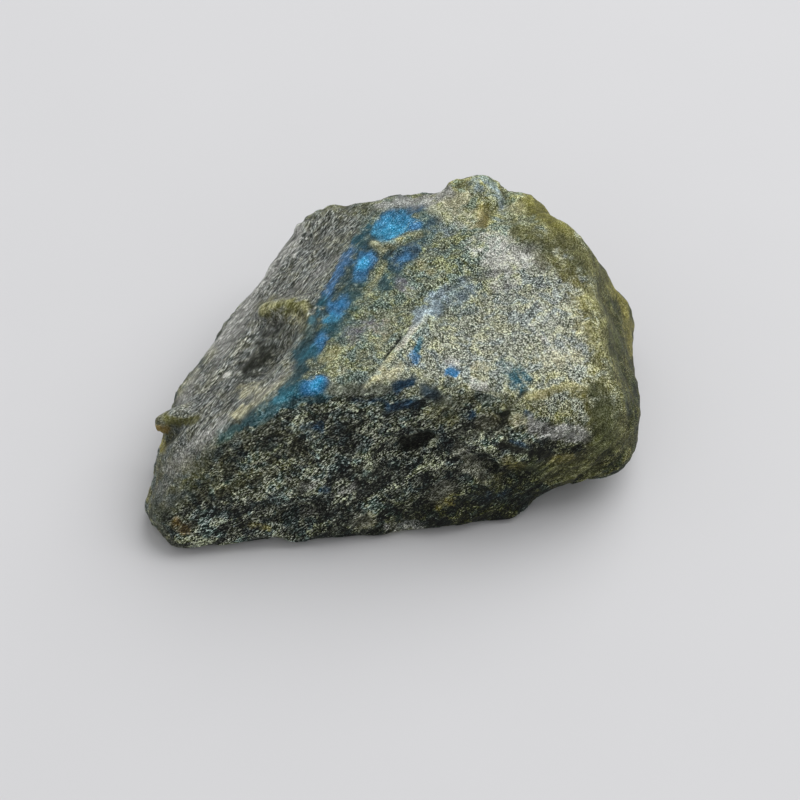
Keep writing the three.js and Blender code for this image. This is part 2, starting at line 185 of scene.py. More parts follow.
MARKS = (
    # The flank, with its lip, its scoop and the notch
    # flank edge: painted sheen, the pale grazing reflection along the flank's left edge
    ("flank edge", "pale grey", 0.8, 9, ((302, 232), (270, 270), (238, 318), (212, 350))),
    ("flank low edge", "yellow", 0.3, 4, ((214, 352), (192, 378), (172, 402))),
    ("flank corner", "olive", 0.5, 7, ((312, 213), (330, 210), (352, 211))),
    ("flank pale streak", "smooth grey", 0.55, 5, ((336, 259), (289, 293), (256, 309))),
    ("lip", "olive", 0.9, 8, ((266, 309), (284, 305), (302, 307))),
    ("lip bend", "yellow", 0.35, 5, ((304, 308), (311, 320), (308, 334))),
    ("lip yellow", "yellow", 0.3, 4, ((266, 309), (273, 306))),
    ("lip edge", "yellow", 0.4, 6, ((290, 319), (306, 322))),
    # scoop and scoop foot: painted shade in the scoop under the lip, down to its foot
    ("scoop", "dark", 0.6, 12, ((280, 330), (266, 348), (250, 366))),
    ("scoop foot", "dark", 0.5, 8, ((270, 350), (248, 374), (232, 394))),
    ("scoop streak", "smooth grey", 0.6, 4, ((243, 326), (228, 345), (212, 362))),
    ("fleck", "frost", 1.0, 2.5, ((224, 376), (228, 374))),
    ("seam strip", "cream", 0.7, 3.5, ((289, 374), (268, 392), (242, 413))),
    ("seam strip grey", "smooth grey", 0.5, 5, ((292, 366), (274, 382), (256, 398))),
    ("seam patch", "cream", 0.6, 6, ((244, 392), (256, 388))),
    ("seam patch low", "cream", 0.95, 5, ((236, 415), (244, 410))),
    ("lower streak", "pale grey", 0.6, 8, ((222, 424), (192, 448), (170, 470))),
    # painted sheen low on the flank's left edge
    ("low edge sheen", "pale grey", 0.6, 6, ((198, 376), (181, 402))),
    ("notch ledge", "olive", 0.85, 5, ((168, 419), (182, 421), (194, 418))),
    ("notch", "rust", 0.9, 4, ((158, 427), (165, 430))),
    ("notch strip", "honey", 0.8, 4, ((161, 436), (162, 450))),
    # The band of blue flashes along the ridge: labradorescence, painted reflection in the stone's colour
    (
        "band ground",
        "dark teal",
        0.8,
        14,
        ((398, 212), (380, 232), (362, 260), (344, 292), (322, 328), (306, 352)),
    ),
    ("band ground right", "teal", 0.6, 11, ((432, 214), (418, 240), (402, 262), (386, 284))),
    ("band ground low", "dark teal", 0.8, 8, ((306, 352), (298, 376), (276, 402), (250, 420))),
    ("ground by the lobes", "teal", 0.5, 9, ((360, 290), (350, 316), (338, 338))),
    ("bright core", "bright flash", 0.95, 10, ((386, 231), (394, 226), (399, 223))),
    ("flash round the core", "flash", 0.4, 6, ((380, 224), (392, 214), (404, 218))),
    ("flash beside it", "flash", 0.85, 5, ((413, 226), (417, 226))),
    ("faint lobe", "slate", 0.45, 6, ((430, 226), (434, 220))),
    ("flash under the edge", "slate", 0.75, 4, ((410, 210), (424, 207))),
    ("second lobe", "slate", 0.85, 8, ((397, 262), (404, 257), (411, 253))),
    ("second lobe blue", "flash", 0.6, 4, ((401, 260), (407, 256))),
    ("second patch", "flash", 0.85, 8, ((362, 268), (368, 258))),
    ("bright second patch", "bright flash", 0.6, 4.5, ((361, 266), (364, 262))),
    ("second patch foot", "flash", 0.5, 5, ((357, 278), (362, 274))),
    ("ridge flash top", "deep flash", 0.5, 4, ((372, 222), (360, 238), (352, 250))),
    ("ridge flash", "violet flash", 0.85, 4, ((352, 250), (343, 265), (334, 280), (326, 294))),
    ("ridge flash low", "deep flash", 0.7, 3.5, ((324, 298), (318, 310), (312, 322))),
    ("teal lobe", "dark teal", 0.85, 5, ((382, 281), (388, 287))),
    ("third patch", "flash", 0.95, 6.5, ((335, 309), (342, 302))),
    ("third patch foot", "bright flash", 0.5, 5, ((326, 320), (332, 318))),
    ("teal under it", "deep flash", 0.7, 5, ((322, 330), (332, 326))),
    ("fourth patch", "flash", 0.75, 5, ((316, 348), (322, 338))),
    ("fourth patch foot", "deep flash", 0.9, 6, ((303, 356), (312, 350))),
    ("big flash ground", "deep flash", 0.9, 9, ((288, 398), (306, 388), (326, 390))),
    ("big flash", "flash", 0.95, 7, ((309, 387), (322, 381))),
    ("big flash core", "bright flash", 0.5, 4, ((313, 386), (320, 382))),
    ("big flash left", "deep flash", 0.85, 5, ((278, 400), (292, 393))),
    ("big flash under", "dark teal", 0.9, 4, ((282, 406), (304, 401), (326, 400))),
    ("flash tail", "dark teal", 0.95, 4, ((276, 410), (256, 421), (232, 430))),
    ("flash tail foot", "teal", 0.7, 6, ((234, 428), (222, 438))),
    ("yellow by the flash", "yellow", 0.7, 7, ((328, 360), (337, 350))),
    ("cream by the flash", "cream", 0.5, 6, ((334, 376), (340, 368))),
    ("olive between lobes", "yellow", 0.5, 4, ((374, 244), (384, 250), (392, 245), (402, 239), (420, 234))),
    ("cream between lobes", "cream", 0.3, 2, ((376, 243), (383, 249))),
    ("seam between lobes", "yellow", 0.55, 3, ((385, 264), (378, 276), (370, 288), (366, 298))),
    ("dark by the seam", "dark teal", 0.7, 3, ((390, 250), (386, 258), (390, 268), (396, 273))),
    ("dark over the second lobe", "dark", 0.6, 1.5, ((390, 254), (402, 246), (414, 246), (422, 254))),
    # The top
    ("lilac on the band", "lilac", 0.6, 7, ((402, 284), (410, 290))),
    ("lilac below", "lilac", 0.5, 8, ((352, 336), (372, 322), (384, 328))),
    ("yellow on the band", "yellow", 0.6, 5, ((420, 264), (434, 272))),
    ("olive on the band", "yellow", 0.4, 8, ((398, 312), (380, 340), (362, 362))),
    ("slate on the band", "slate", 0.4, 7, ((424, 246), (434, 250))),
    ("cream foot of the band", "cream", 0.75, 6, ((378, 380), (390, 375), (400, 370))),
    ("grey foot of the band", "sage", 1.0, 7, ((334, 388), (352, 391), (370, 390), (386, 388))),
    ("grey foot of the face", "sage", 1.0, 7, ((424, 390), (436, 396), (446, 402))),
    ("rib", "cream", 0.5, 3, ((366, 386), (388, 362), (404, 344), (424, 318), (432, 304))),
    ("rib white", "frost", 0.35, 2, ((404, 342), (420, 322))),
    ("rib shade", "smooth grey", 0.5, 4, ((396, 352), (412, 328), (424, 310))),
    ("slit", "dark", 0.8, 1.5, ((385, 356), (398, 338))),
    # painted shade along the step down into the recess
    ("shade along the recess step", "blue grey", 0.3, 3, ((428, 303), (440, 290), (466, 276), (505, 269))),
    ("sheen", "blue grey", 0.6, 12, ((436, 306), (450, 296), (464, 290))),
    ("white top", "frost", 0.75, 13, ((496, 262), (512, 256), (530, 258))),
    ("white top left", "frost", 0.45, 10, ((474, 246), (490, 240), (506, 240))),
    ("white under the line", "frost", 0.5, 8, ((498, 287), (514, 284))),
    ("grey spot", "teal", 0.5, 8, ((504, 367), (516, 370))),
    # painted shade at the foot of the rib
    ("shade at the rib foot", "blue grey", 0.8, 8, ((419, 316), (435, 306))),
    ("white column", "frost", 0.25, 12, ((540, 300), (552, 330), (560, 352))),
    ("white streak", "frost", 0.4, 2, ((525, 318), (555, 352))),
    ("cream corner", "cream", 0.6, 8, ((548, 362), (560, 358), (580, 356))),
    ("triangle", "flash", 0.75, 5, ((411, 354), (416, 357))),
    ("triangle top", "deep flash", 0.8, 3, ((421, 338), (417, 350))),
    ("white by the triangle", "frost", 0.7, 5, ((448, 360), (454, 362))),
    ("round flash", "flash", 1.0, 5, ((450, 372), (453, 372))),
    ("dark flash", "deep flash", 0.7, 10, ((514, 382), (524, 378))),
    ("white by the edge", "frost", 0.6, 6, ((474, 384), (484, 386))),
    ("cream by the edge", "cream", 0.6, 5, ((474, 368), (486, 366))),
    # The facet at the right front
    ("facet top", "yellow", 1.0, 5, ((530, 398), (548, 392), (566, 386), (584, 389))),
    ("facet top rust", "rust", 0.25, 3, ((534, 397), (546, 394))),
    ("facet side", "rim brown", 0.6, 4, ((583, 392), (588, 408), (586, 430))),
    ("facet corner", "wax edge", 0.5, 5, ((572, 393), (583, 397))),
    ("facet bright spot", "cream", 0.7, 6, ((512, 420), (524, 420))),
    ("facet spot", "navy", 0.7, 4, ((527, 413), (530, 416))),
    ("facet left line", "dark", 0.4, 2, ((524, 392), (514, 404), (504, 428))),
    ("beside the facet", "bottle", 0.9, 8, ((596, 388), (600, 420), (597, 446))),
    # painted shadow under the facet's lower edge
    ("shadow under the facet", "dark", 1.0, 4.5, ((502, 444), (526, 450), (554, 457), (582, 459))),
    ("facet foot", "pale grey", 0.85, 8, ((534, 427), (550, 433), (568, 434), (582, 434))),
    # these two marks are painted shadow too, lower under the facet and in blue
    ("shadow under the facet low", "bottle", 0.9, 9, ((516, 466), (556, 472), (592, 470))),
    ("shadow under the facet blue", "navy", 0.5, 3, ((512, 440), (530, 446))),
    # The right end
    ("side ground", "olive", 0.6, 18, ((572, 246), (598, 286), (610, 330), (614, 380), (610, 430))),
    ("side ground low", "olive", 0.6, 16, ((618, 440), (596, 462), (560, 472))),
    ("side band", "honey", 0.4, 8, ((566, 276), (578, 300), (582, 330))),
    ("side band yellow", "yellow", 0.35, 7, ((560, 290), (574, 312), (590, 345))),
    ("side border", "pale moss", 0.6, 8, ((586, 290), (596, 320), (598, 345), (594, 374))),
    ("side dark", "bottle", 0.7, 8, ((574, 254), (584, 264))),
    ("side dark top", "bottle", 0.65, 8, ((518, 232), (530, 244), (548, 250))),
    ("side long dark", "bottle", 0.5, 6, ((614, 334), (617, 352))),
    ("side low dark", "bottle", 0.6, 10, ((606, 404), (612, 424), (604, 448))),
    # The rim and the crest at the back
    ("rim", "rim brown", 1.0, 8, ((528, 203), (540, 210), (548, 218), (556, 226), (566, 236))),
    ("rim green", "olive", 0.8, 8, ((568, 242), (578, 252), (590, 264))),
    ("rim right", "wax edge", 1.0, 5, ((612, 286), (624, 306), (630, 330), (633, 352))),
    ("rim right upper", "olive", 0.6, 5, ((590, 262), (604, 276), (612, 288))),
    ("crest bump", "blue grey", 0.5, 7, ((474, 184), (488, 190), (496, 194))),
    ("crest lump", "olive", 0.5, 7, ((455, 190), (462, 184))),
    ("crest brown", "honey", 0.8, 7, ((482, 222), (486, 210))),
    ("crest brown low", "rust", 0.35, 4, ((480, 224), (484, 214))),
    ("crest grey", "blue grey", 0.45, 6, ((500, 215), (504, 208))),
    ("crest pale", "yellow", 0.6, 6, ((512, 208), (520, 209))),
    ("crest far", "olive", 0.7, 9, ((516, 233), (532, 233), (546, 238), (560, 246))),
    ("crest far low", "olive", 0.7, 8, ((540, 258), (556, 264), (568, 274))),
    ("crest grey left", "blue grey", 0.5, 8, ((446, 232), (458, 226))),
    ("crest cream", "cream", 0.5, 9, ((436, 208), (452, 212), (470, 220))),
    ("crest cream top", "cream", 0.7, 7, ((448, 201), (464, 199))),
    ("crest border", "pale grey", 0.7, 5, ((376, 206), (400, 202), (430, 200), (450, 192))),
    # The front
    ("navy one", "navy", 0.85, 6, ((396, 388), (410, 381))),
    ("navy two", "navy", 0.85, 6, ((426, 390), (434, 396))),
    ("navy three", "navy", 0.6, 3, ((354, 400), (370, 401), (386, 400))),
    ("navy four", "navy", 0.8, 5, ((390, 408), (402, 405), (414, 402))),
    ("navy five", "navy", 0.7, 5, ((303, 427), (320, 426))),
    ("navy six", "navy", 0.7, 4, ((264, 449), (276, 445))),
    ("navy seven", "navy", 0.7, 4, ((320, 490), (330, 488))),
    ("navy eight", "navy", 0.4, 5, ((470, 500), (490, 498), (510, 494))),
    ("navy nine", "navy", 0.7, 5, ((470, 416), (474, 414))),
    ("dark spot by the nose", "dark", 0.6, 5, ((218, 490), (242, 486))),
    ("hollow", "dark", 0.75, 7, ((406, 444), (418, 442), (428, 438))),
    ("dark band", "dark", 0.45, 8, ((360, 490), (380, 478), (396, 470))),
    ("dark column", "dark", 0.85, 5, ((507, 410), (498, 426))),
    ("dark by the rimmed hollow", "dark", 0.45, 6, ((504, 470), (500, 484))),
    ("rimmed hollow", "dark", 0.55, 5, ((468, 462), (480, 458), (490, 460))),
    ("hollow rim", "smooth grey", 0.3, 3, ((462, 452), (474, 446), (494, 449))),
    ("hollow rim low", "olive", 0.5, 5, ((474, 480), (486, 478), (498, 478))),
    ("hollow olive", "honey", 0.35, 5, ((504, 460), (520, 466))),
    ("front yellow", "honey", 0.6, 6, ((440, 506), (450, 498))),
    ("front foot yellow", "yellow", 0.45, 6, ((362, 524), (370, 519))),
    ("front left yellow", "honey", 0.55, 5, ((254, 526), (268, 527))),
    ("front left green", "olive", 0.4, 26, ((196, 484), (250, 470), (290, 452))),
    ("nose rust", "rust", 0.75, 6, ((178, 522), (184, 528))),
    ("nose smooth", "bottle", 0.4, 9, ((154, 512), (162, 520))),
    ("nose dark", "dark", 0.35, 7, ((162, 502), (172, 500))),
    ("nose light", "smooth grey", 0.5, 5, ((160, 488), (164, 484))),
    ("under facet olive", "honey", 0.35, 5, ((556, 459), (570, 456))),
    ("front olive", "olive", 0.6, 10, ((436, 412), (450, 416))),
    ("front light green", "yellow", 0.4, 6, ((482, 424), (492, 418))),
    ("front pale one", "smooth grey", 0.5, 4, ((304, 487), (314, 484))),
    ("front pale two", "smooth grey", 0.5, 5, ((343, 492), (351, 486))),
    ("front pale three", "smooth grey", 0.5, 4, ((303, 514), (315, 511))),
    ("front pale four", "smooth grey", 0.5, 5, ((388, 528), (404, 526), (420, 524))),
    ("front light one", "moss", 0.8, 9, ((461, 454), (482, 474))),
    ("front light two", "moss", 0.8, 8, ((434, 497), (449, 486))),
    ("front light three", "moss", 0.7, 7, ((483, 419), (488, 424))),
    ("front light four", "moss", 0.7, 7, ((356, 522), (368, 519))),
    ("front dark one", "dark", 0.6, 8, ((358, 476), (374, 469))),
    ("front dark two", "dark", 0.5, 8, ((288, 491), (302, 485))),
    ("front dark three", "dark", 0.65, 7, ((458, 437), (480, 435))),
)
MARK_WOBBLE = 0.6  # share of a mark's half width by which its edge wanders

# ---- Relief seen from in front: name, height in millimetres, half width in pixels, places in pixels ----

RELIEF = (
    ("rib crest", 0.2, 4, ((368, 386), (388, 362), (404, 344), (424, 318), (434, 302))),
    ("rib slit", -0.6, 2.5, ((384, 357), (399, 337))),
    ("recess step", -0.35, 5, ((430, 306), (442, 292), (467, 278), (508, 271))),
    ("lobe edge one", 0.3, 3, ((372, 244), (392, 243), (408, 238), (420, 232))),
    ("lobe edge two", 0.25, 3, ((388, 262), (398, 249), (412, 246), (424, 250))),
    ("lobe hollow", -0.3, 10, ((386, 230), (404, 220))),
    ("second hollow", -0.3, 8, ((364, 272), (375, 258))),
    ("third hollow", -0.25, 8, ((332, 314), (344, 300))),
    ("facet left cut", -0.12, 2.5, ((525, 391), (514, 404), (503, 430))),
    ("facet under cut", -0.15, 3.5, ((503, 434), (528, 441), (556, 447), (584, 447))),
    ("facet top ridge", 0.2, 4, ((530, 397), (550, 389), (568, 383), (584, 387))),
    ("hollow in the front", -0.7, 7, ((404, 446), (418, 442), (430, 437))),
    ("rimmed hollow", -0.6, 7, ((467, 463), (480, 459), (492, 462))),
    ("hollow rim", 0.2, 4, ((460, 454), (474, 446), (496, 448))),
    ("flank corner", 0.9, 13, ((332, 212), (306, 228))),
    ("flank edge", 0.5, 13, ((296, 240), (264, 284))),
    ("lip edge", 0.12, 5, ((262, 312), (280, 304), (306, 306))),
    ("notch edge", 0.15, 4, ((160, 420), (178, 417), (194, 414))),
    ("white streak", 0.15, 2.5, ((525, 318), (555, 352))),
    ("crest brown hollow", -0.4, 6, ((482, 222), (488, 208))),
    ("crest bump", 0.3, 9, ((474, 186), (490, 190))),
    ("crest notch", -0.5, 3, ((502, 187), (506, 197))),
    ("crest left bump", 0.3, 5, ((450, 184), (456, 180))),
    ("crest shoulder", 0.3, 6, ((514, 196), (528, 200))),
    ("lip bend", 0.35, 4, ((304, 308), (312, 320), (309, 336))),
)


# ---- Points and noise ----

NOISE_FADE = 0.9  # how fast the finer octaves of noise fade
NOISE_STEP = 2.1  # how many times finer each octave is than the one before
# Noise that moves borders and edges: its size in millimetres, its octaves and its seed.
BORDER_NOISES = ((2.2, 4, 21.5), (2.2, 4, 22.5), (2.2, 4, 23.5))
MARK_NOISE = (1.3, 3, 11.5)
RELIEF_NOISE = (1.5, 2, 12.5)


def smooth_step(low, high, values):
    """0 below low, 1 above high and a smooth rise between them. It falls where low is above high."""
    part = np.clip((values - low) / (high - low), 0, 1)
    return part * part * (3 - 2 * part)


def line_distance(pixels, places):
    """Each pixel's distance from the line through the places."""
    nearest = np.full(len(pixels), np.inf)
    for start, end in zip(places[:-1], places[1:]):
        start = np.array(start, float)
        run = np.array(end, float) - start
        part = np.clip((pixels - start) @ run / (run @ run), 0, 1)
        gap = pixels - start - part[:, None] * run
        nearest = np.minimum(nearest, np.hypot(gap[:, 0], gap[:, 1]))
    return nearest


def drawn_out(points, run, stretch):
    """Points squeezed along a direction, so that noise on them is drawn out along it."""
    run = run / np.linalg.norm(run)
    return points + np.outer(points @ run, run) * (1 / stretch - 1)


def noise_at(points, size, octaves, seed):
    """Smooth noise, about -1 to 1, with features of one size in millimetres."""
    places = (points / size + seed).tolist()
    return np.array([noise.fractal(place, NOISE_FADE, NOISE_STEP, octaves) for place in places])


def terraces(values, softness):
    """Noise turned into flat steps one unit high, with risers between them that softness makes wider."""
    whole = np.floor(values)
    return whole + smooth_step(0.5 - softness, 0.5 + softness, values - whole)


def face_weights(points):
    """For each finish, how much of each point belongs to it."""
    wander = np.stack([noise_at(points, *border_noise) for border_noise in BORDER_NOISES], axis=1)
    points = points + FACE_WANDER * wander
    depths = []
    for place, facing, _ in FACES.values():
        facing = np.array(facing, float)
        facing /= np.linalg.norm(facing)
        depths.append((points - np.array(place) + STONE_MIDDLE) @ facing)
    depths = np.array(depths) / FACE_BLEND
    shares = np.exp(depths - depths.max(axis=0))
    shares /= shares.sum(axis=0)
    weights = {name: np.zeros(len(points)) for name in FINISHES}
    for share, (_, _, finish) in zip(shares, FACES.values()):
        weights[finish] += share
    return weights


def blended(weights, values):
    """Each point's mix of the finishes' values, which are numbers or colours."""
    return sum(np.multiply.outer(weights[name], values[name]) for name in FINISHES)


# ---- The stone's mesh ----

WELD_GAP = 0.01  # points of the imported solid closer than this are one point
SMOOTHING_ROUNDS = 9  # enough to take the small squares' steps off the sloping faces
FOOT_HEIGHT = 0.2  # points lower than this lie on the table, and smoothing doesn't raise them
TABLE_FADE = (0.1, 1.6)  # the relief grows from nothing to its full height between these heights


def neighbour_mean(values, edges):
    """The mean of each point's neighbours."""
    count = len(values)
    ends = np.concatenate((edges[:, 0], edges[:, 1]))
    others = np.concatenate((edges[:, 1], edges[:, 0]))
    number = np.bincount(ends, minlength=count)
    columns = [np.bincount(ends, weights=column[others], minlength=count) / number for column in values.T]
    return np.stack(columns, axis=1)


def smoothed(values, edges, rounds):
    """Values evened out over the mesh."""
    for _ in range(rounds):
        values = (values + neighbour_mean(values, edges)) / 2
    return values


def read_rows(items, name, width, kind=float):
    """What each of a mesh's points, normals or edges holds, as rows of numbers."""
    values = np.empty(len(items) * width, dtype=kind)
    items.foreach_get(name, values)
    return values.reshape(-1, width)


def place_points(mesh, points):
    """Moves a mesh's points."""
    mesh.vertices.foreach_set("co", points.ravel())
    mesh.update()


def fine_copy(spacing):
    """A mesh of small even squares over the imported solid, in millimetres."""
    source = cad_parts[NODE].data
    rough = bpy.data.meshes.new("rough_copy")
    faces = [tuple(polygon.vertices) for polygon in source.polygons]
    rough.from_pydata((read_rows(source.vertices, "co", 3) / MM).tolist(), [], faces)
    holder = bpy.data.objects.new("rough_copy", rough)
    bpy.context.collection.objects.link(holder)
    weld = holder.modifiers.new("weld", "WELD")
    weld.merge_threshold = WELD_GAP
    remesh = holder.modifiers.new("remesh", "REMESH")
    remesh.mode = "VOXEL"
    remesh.voxel_size = spacing
    remesh.use_smooth_shade = True
    fine = bpy.data.meshes.new_from_object(holder.evaluated_get(bpy.context.evaluated_depsgraph_get()))
    bpy.data.objects.remove(holder)
    bpy.data.meshes.remove(rough)
    return fine


# ---- Relief of the broken faces ----


class Rough(NamedTuple):
    """One kind of unevenness: its height and size in millimetres, its octaves and its seed. Where it breaks
    in steps, also how many steps its noise spans and how soft their risers are."""

    height: float
    size: float
    octaves: int
    seed: float
    steps: float = 0
    softness: float = 0


SATIN_RIPPLE = Rough(0.1, 1.1, 3, 3.1)
SATIN_STEPS = Rough(0.12, 2.4, 2, 8.2, 2, 0.15)
SUGAR_GRAIN = Rough(0.09, 0.9, 3, 1.7)
SUGAR_WAVES = Rough(0.12, 3, 2, 5.3)
HACKLY_STEPS = Rough(0.24, 2.6, 3, 2.2, 2.2, 0.14)
HACKLY_RIPPLE = Rough(0.12, 1.1, 3, 9.4)
WAXY_WAVES = Rough(0.22, 3.2, 3, 6.6)
WAXY_RIPPLE = Rough(0.08, 1.4, 2, 4.1)
CREST_LUMPS = Rough(0.36, 2, 3, 7.9)
# How much of each kind of relief a finish has.
RELIEF_SHARES = {
    "satin": {"satin": 1},
    "olive sugar": {"sugar": 1},
    "pale sugar": {"sugar": 1.2},
    "facet": {"sugar": 0.5, "hackly": 0.2},
    "hackly": {"hackly": 1},
    "bottle": {"hackly": 1},
    "waxy": {"waxy": 1},
    "crest": {"crest": 1},
    "nose": {"hackly": 0.6, "waxy": 0.5},
}
WAXY_RUN = np.array((0.2, -0.4, 1))  # the way the right end's ripples run
FLANK_STRETCH = 9
FRONT_STRETCH = 3.5
WAXY_STRETCH = 4

RELIEF_EDGE = (1.3, 0.2)  # a placed form is gone and full at these shares of its half width
RELIEF_TURN = (-0.25, 0.05)  # the turn to the camera, as a cosine, at which a face gets none and all of it
RELIEF_WANDER = 0.25  # share of its half width by which its edge wanders
RELIEF_USUAL = 0.8  # the usual share of its full height
RELIEF_SPREAD = 0.6  # how much that share varies

# Painted shade in hollows and light on crests: smoothing rounds that find them, and the height that gets it in
# full.
FINE_RELIEF_SHADING = (6, 0.05)
BROAD_RELIEF_SHADING = (60, 0.35)


def unevenness(points, rough):
    """How high one kind of unevenness stands at each point."""
    values = noise_at(points, rough.size, rough.octaves, rough.seed)
    if rough.steps:
        values = terraces(values * rough.steps, rough.softness)
    return rough.height * values


def broken_relief(points, weights):
    """How far the broken surface stands above the solid, from the finish of each point."""
    flank_points = drawn_out(points, FLANK_RUN, FLANK_STRETCH)
    front_points = drawn_out(points, FRONT_RUN, FRONT_STRETCH)
    waxy_points = drawn_out(points, WAXY_RUN, WAXY_STRETCH)
    heights = {
        "satin": unevenness(flank_points, SATIN_RIPPLE) + unevenness(flank_points, SATIN_STEPS),
        "sugar": unevenness(points, SUGAR_GRAIN) + unevenness(points, SUGAR_WAVES),
        "hackly": unevenness(front_points, HACKLY_STEPS) + unevenness(front_points, HACKLY_RIPPLE),
        "waxy": unevenness(points, WAXY_WAVES) + unevenness(waxy_points, WAXY_RIPPLE),
        "crest": unevenness(points, CREST_LUMPS),
    }
    relief = np.zeros(len(points))
    for finish, shares in RELIEF_SHARES.items():
        for kind, share in shares.items():
            relief += weights[finish] * share * heights[kind]
    return relief


def placed_relief(points, facing):
    """How far the forms in RELIEF raise each point."""
    pixels = seen_at(points)
    wander = noise_at(points, *RELIEF_NOISE)
    amount = (RELIEF_USUAL + RELIEF_SPREAD * wander) * smooth_step(*RELIEF_TURN, facing)
    height = np.zeros(len(points))
    for _, rise, half_width, places in RELIEF:
        distance = line_distance(pixels, places) / half_width + RELIEF_WANDER * wander
        height += rise * amount * smooth_step(*RELIEF_EDGE, distance)
    return height


def relief_shading_at(points, normals, edges):
    """From -1 in a hollow to 1 on a crest: painted shade for the hollows and painted light for the crests."""
    relief_shading = np.zeros(len(points))
    for rounds, full_height in (FINE_RELIEF_SHADING, BROAD_RELIEF_SHADING):
        height = ((points - smoothed(points, edges, rounds)) * normals).sum(axis=1)
        relief_shading += np.clip(height / full_height, -1, 1) / 2
    return relief_shading


# ---- Layers that the material reads ----

MARK_EDGE = (1.7, 0.3)  # a mark is gone and full at these shares of its half width
MARK_TURN = (0.02, 0.15)  # the turn to the camera, as a cosine, at which a face takes none and all of it


def add_colour(mesh, name, rgb, alpha=1):
    """Stores a colour, and a fourth value, at each of a mesh's points."""
    values = np.empty((len(rgb), 4))
    values[:, :3] = rgb
    values[:, 3] = alpha
    layer = mesh.attributes.new(name, "FLOAT_COLOR", "POINT")
    layer.data.foreach_set("color", values.ravel())


def paint_marks(points, facing):
    """The marks' colour at each point, and how strongly it covers the stone."""
    colour = np.zeros((len(points), 3))
    cover = np.zeros(len(points))
    seen = np.nonzero(facing > MARK_TURN[0])[0]
    pixels = seen_at(points[seen])
    wander = noise_at(points[seen], *MARK_NOISE)
    turned = smooth_step(*MARK_TURN, facing[seen])
    for _, tint, strength, half_width, places in MARKS:
        distance = line_distance(pixels, places) / half_width + MARK_WOBBLE * wander
        amount = strength * smooth_step(*MARK_EDGE, distance) * turned
        touched = amount > 0
        target = seen[touched]
        amount = amount[touched]
        left = cover[target] * (1 - amount)
        after = amount + left
        mixed = np.outer(amount, linear(MARK_COLOURS[tint])) + colour[target] * left[:, None]
        colour[target] = mixed / after[:, None]
        cover[target] = after
    return colour, cover


def store_layers(mesh, points, facing, weights, relief_shading):
    """Stores the tints, pattern amounts, painted shade and light of hollows and crests, and marks on the mesh.
    """
    for tint in TINTS:
        colours = {name: linear(getattr(finish, tint)) for name, finish in FINISHES.items()}
        add_colour(mesh, tint + "_tint", blended(weights, colours))
    amounts = {}
    for amount in AMOUNTS:
        values = {name: getattr(finish, amount) for name, finish in FINISHES.items()}
        amounts[amount] = blended(weights, values)
    texture = np.stack((amounts["grain"], amounts["flank_streaks"], amounts["front_streaks"]), axis=1)
    add_colour(mesh, "texture", texture, amounts["mottle"])
    # the first value is the painted shade of hollows and painted light of crests
    surface = np.stack((relief_shading / 2 + 0.5, amounts["polish"], amounts["patches"]), axis=1)
    add_colour(mesh, "surface", surface)
    add_colour(mesh, "mark", *paint_marks(points, facing))


def chunk_mesh(spacing, relief):
    """The stone's surface, with its relief and the layers that its material reads."""
    mesh = fine_copy(spacing)
    edges = read_rows(mesh.edges, "vertices", 2, np.int64)
    squares = read_rows(mesh.vertices, "co", 3)
    points = smoothed(squares, edges, SMOOTHING_ROUNDS)
    foot = squares[:, 2] < FOOT_HEIGHT
    points[foot, 2] = np.minimum(points[foot, 2], squares[foot, 2])
    place_points(mesh, points)
    normals = read_rows(mesh.vertex_normals, "vector", 3)
    facing = normals @ TO_CAMERA
    weights = face_weights(points)

    height = relief * (broken_relief(points, weights) + placed_relief(points, facing))
    height *= smooth_step(*TABLE_FADE, points[:, 2])
    raised = points + normals * height[:, None]
    raised[:, 2] = np.maximum(raised[:, 2], 0)
    store_layers(mesh, points, facing, weights, relief_shading_at(raised, normals, edges))
    place_points(mesh, raised * MM)
    mesh.name = "labradorite_surface"
    return mesh


# ---- Materials ----


def add_node(tree, kind, inputs=(), **settings):
    """Adds a node with its settings, sets or links its inputs, by name or in order, and gives its outputs."""
    node = tree.nodes.new("ShaderNode" + kind)
    for name, value in settings.items():
        setattr(node, name, value)
    pairs = inputs.items() if isinstance(inputs, dict) else enumerate(inputs)
    for name, value in pairs:
        socket = node.inputs[name]
        if isinstance(value, bpy.types.NodeSocket):
            tree.links.new(value, socket)
        else:
            socket.default_value = value
    return node.outputs


def new_tree(name):
    """A new material, and the function that adds a node to its empty tree."""
    material = bpy.data.materials.new(name)
    material.use_nodes = True
    material.node_tree.nodes.clear()
    return material, partial(add_node, material.node_tree)


class Pattern(NamedTuple):
    """A soft pattern: its size in millimetres, its octaves, how strong finer ones are, and how bent it is."""

    size: float
    detail: float
    roughness: float
    distortion: float = 0.0

    def at(self, place):
        """What a noise node takes to draw the pattern at a place."""
        return {
            "Vector": place,
            "Scale": 1 / self.size,
            "Detail": self.detail,
            "Roughness": self.roughness,
            "Distortion": self.distortion,
        }


# The crystals' widths in millimetres. Real ones may be finer still, but would be lost between pixels.
GRAIN_WIDTH = 0.095
FLANK_GRAIN_WIDTH = 0.06
FRONT_GRAIN_WIDTH = 0.08
BLOCK_WIDTH = 1.15  # the larger pieces of feldspar and dark mineral in the front
BLOCK_BEND = 2.2  # how far noise bends their borders
# How many times longer than wide each is, along the layers.
FLANK_GRAIN_LENGTH = 8
FRONT_GRAIN_LENGTH = 3
BLOCK_LENGTH = 2.2
FLANK_STREAK_LENGTH = 14
FRONT_STREAK_LENGTH = 3.5

